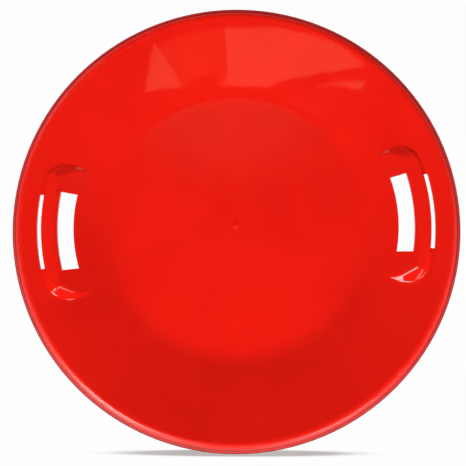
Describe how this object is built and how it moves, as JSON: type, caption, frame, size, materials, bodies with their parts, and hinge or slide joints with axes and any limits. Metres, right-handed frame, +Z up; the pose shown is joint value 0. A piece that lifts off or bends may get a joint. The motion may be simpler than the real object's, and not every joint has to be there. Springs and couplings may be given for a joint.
{
  "type": "saucer sled",
  "caption": "Round moulded saucer sled: flat gliding floor, sloping wall, rolled rim, and a raised hand grip between slots on each side.",
  "frame": {"origin": "middle of the floor's underside, on the ground that the sled slides on", "axes": "+Z up out of the dish, +X from the middle to the right handle, +Y forwards"},
  "size_m": [0.635, 0.635, 0.0556],
  "materials": {
    "red_shell": "smooth gloss, coloured through"
  },
  "bodies": {
    "root": {"floor_disc": "red_shell", "gate_nub": "red_shell", "dish_wall": "red_shell", "rolled_rim": "red_shell", "right_handle_housing": "red_shell", "right_grip_bar": "red_shell", "left_handle_housing": "red_shell", "left_grip_bar": "red_shell"}
  },
  "joints": []
}
